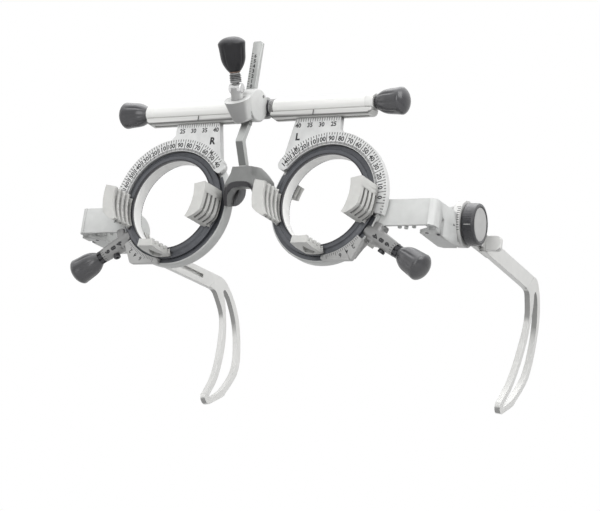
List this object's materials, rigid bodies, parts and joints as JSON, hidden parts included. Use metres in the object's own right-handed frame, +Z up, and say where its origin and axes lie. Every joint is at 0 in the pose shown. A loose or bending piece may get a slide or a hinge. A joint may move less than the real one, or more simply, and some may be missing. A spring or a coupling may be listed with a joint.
{
  "type": "trial lens frame",
  "caption": "Adjustable spectacle frame that holds round trial lenses in turning cells, with sliding eyepieces, adjustable nose rest and tilting, sliding temples.",
  "frame": {"origin": "crown of the nose saddle's arch, where it rests on the nose", "axes": "+X to the wearer's left, +Y back towards the face along the temples, +Z up"},
  "size_m": [0.165, 0.1473, 0.1152],
  "materials": {
    "tube": "pale silver enamel",
    "rail": "dark grey moulding",
    "cap": "silver",
    "screw": "turned",
    "knob": "anthracite, soft sheen",
    "brass": "turned",
    "plate": "light grey with printed scales",
    "housing": "light warm grey",
    "ring": "anthracite",
    "liner": "light grey",
    "comb": "light warm grey",
    "shaft": "blackened",
    "holder": "light grey",
    "wheel": "knurled anthracite",
    "wheel_cap": "satin disc",
    "temple": "satin silver grey",
    "chrome": "polished",
    "rod": "satin with printed figures",
    "saddle": "mid grey",
    "pad": "translucent grey"
  },
  "bodies": {
    "front_bar": {"bar_tube_left": "tube", "bar_tube_right": "tube", "slide_rail_left": "rail", "slide_rail_right": "rail", "end_cap_left": "cap", "end_cap_right": "cap", "hub_core": "rail", "hub_body": "housing", "barrel_nut": "chrome", "spindle_bush": "rail"},
    "nose_carrier": {"nose_swivel": "rail"},
    "nose_bridge": {"nose_rod": "rod", "nose_saddle": "saddle", "nose_pads": "pad"},
    "nose_drive": {"nose_spindle": "screw", "nose_knob": "knob"},
    "pd_drive_left": {"pd_screw_left": "screw", "pd_knob_left": "knob"},
    "eye_carrier_left": {"carrier_nut_left": "brass", "scale_plate_left": "plate", "cell_housing_left": "housing", "gear_housing_left": "housing", "vernier_block_left": "housing", "rear_clips_left": "housing", "temple_bracket_left": "housing"},
    "lens_cell_left": {"cell_ring_left": "ring", "cell_liner_left": "liner", "comb_temple_left": "comb", "comb_nose_left": "comb", "bottom_clip_left": "comb"},
    "axis_drive_left": {"axis_shaft_left": "shaft", "axis_knob_left": "knob"},
    "tilt_holder_left": {"temple_holder_left": "holder", "side_wheel_left": "wheel", "pivot_screw_left": "wheel_cap"},
    "temple_arm_left": {"temple_left": "temple", "thumb_tab_left": "temple"},
    "pd_drive_right": {"pd_screw_right": "screw", "pd_knob_right": "knob"},
    "eye_carrier_right": {"carrier_nut_right": "brass", "scale_plate_right": "plate", "cell_housing_right": "housing", "gear_housing_right": "housing", "vernier_block_right": "housing", "rear_clips_right": "housing", "temple_bracket_right": "housing"},
    "lens_cell_right": {"cell_ring_right": "ring", "cell_liner_right": "liner", "comb_temple_right": "comb", "comb_nose_right": "comb", "bottom_clip_right": "comb"},
    "axis_drive_right": {"axis_shaft_right": "shaft", "axis_knob_right": "knob"},
    "tilt_holder_right": {"temple_holder_right": "holder", "side_wheel_right": "wheel", "pivot_screw_right": "wheel_cap"},
    "temple_arm_right": {"temple_right": "temple", "thumb_tab_right": "temple"}
  },
  "joints": [
    {"name": "pd_slide_left", "type": "slide", "parent": "front_bar", "child": "eye_carrier_left", "axis": [1, 0, 0], "range_m": [-0.0012, 0.007]},
    {"name": "pd_knob_turn_left", "type": "hinge", "parent": "front_bar", "child": "pd_drive_left", "pos_m": [0, -0.00065, 0.0323], "axis": [1, 0, 0], "range_deg": [-217, 1261]},
    {"name": "cell_turn_left", "type": "hinge", "parent": "eye_carrier_left", "child": "lens_cell_left", "pos_m": [0.033, -0.001, -0.0044], "axis": [0, 1, 0], "continuous": true},
    {"name": "axis_knob_turn_left", "type": "hinge", "parent": "eye_carrier_left", "child": "axis_drive_left", "pos_m": [0.033, 0.0039, -0.0044], "axis": [0.8554, 0, -0.518], "continuous": true},
    {"name": "temple_tilt_left", "type": "hinge", "parent": "eye_carrier_left", "child": "tilt_holder_left", "pos_m": [0.07433, 0.03238, -0.0041], "axis": [0.9959, 0.0906, 0], "range_deg": [-20, 15]},
    {"name": "temple_slide_left", "type": "slide", "parent": "tilt_holder_left", "child": "temple_arm_left", "axis": [-0.0906, 0.9959, 0], "range_m": [-0.0054, 0.0064]},
    {"name": "pd_slide_right", "type": "slide", "parent": "front_bar", "child": "eye_carrier_right", "axis": [-1, 0, 0], "range_m": [-0.0012, 0.007]},
    {"name": "pd_knob_turn_right", "type": "hinge", "parent": "front_bar", "child": "pd_drive_right", "pos_m": [0, -0.00065, 0.0323], "axis": [-1, 0, 0], "range_deg": [-217, 1261]},
    {"name": "cell_turn_right", "type": "hinge", "parent": "eye_carrier_right", "child": "lens_cell_right", "pos_m": [-0.033, -0.001, -0.0044], "axis": [0, 1, 0], "continuous": true},
    {"name": "axis_knob_turn_right", "type": "hinge", "parent": "eye_carrier_right", "child": "axis_drive_right", "pos_m": [-0.033, 0.0039, -0.0044], "axis": [-0.8554, 0, -0.518], "continuous": true},
    {"name": "temple_tilt_right", "type": "hinge", "parent": "eye_carrier_right", "child": "tilt_holder_right", "pos_m": [-0.07433, 0.03238, -0.0041], "axis": [0.9959, -0.0906, 0], "range_deg": [-20, 15]},
    {"name": "temple_slide_right", "type": "slide", "parent": "tilt_holder_right", "child": "temple_arm_right", "axis": [0.0906, 0.9959, 0], "range_m": [-0.0002, 0.0116]},
    {"name": "nose_tilt", "type": "hinge", "parent": "front_bar", "child": "nose_carrier", "pos_m": [0, -0.0081, 0.0306], "axis": [1, 0, 0], "range_deg": [-5, 5]},
    {"name": "nose_slide", "type": "slide", "parent": "nose_carrier", "child": "nose_bridge", "axis": [0, 0, 1], "range_m": [-0.01, 0.003]},
    {"name": "nose_knob_turn", "type": "hinge", "parent": "front_bar", "child": "nose_drive", "pos_m": [0, -0.0181, 0.0337], "axis": [0, -0.4695, 0.8829], "range_deg": [-181, 181]}
  ],
  "couplings": [
    {"joint": "pd_knob_turn_left", "follows": "pd_slide_left", "rad_per_m": 3141.6},
    {"joint": "axis_knob_turn_left", "follows": "cell_turn_left", "ratio": 9.4286},
    {"joint": "pd_knob_turn_right", "follows": "pd_slide_right", "rad_per_m": 3141.6},
    {"joint": "axis_knob_turn_right", "follows": "cell_turn_right", "ratio": 9.4286},
    {"joint": "nose_knob_turn", "follows": "nose_tilt", "ratio": 36}
  ]
}
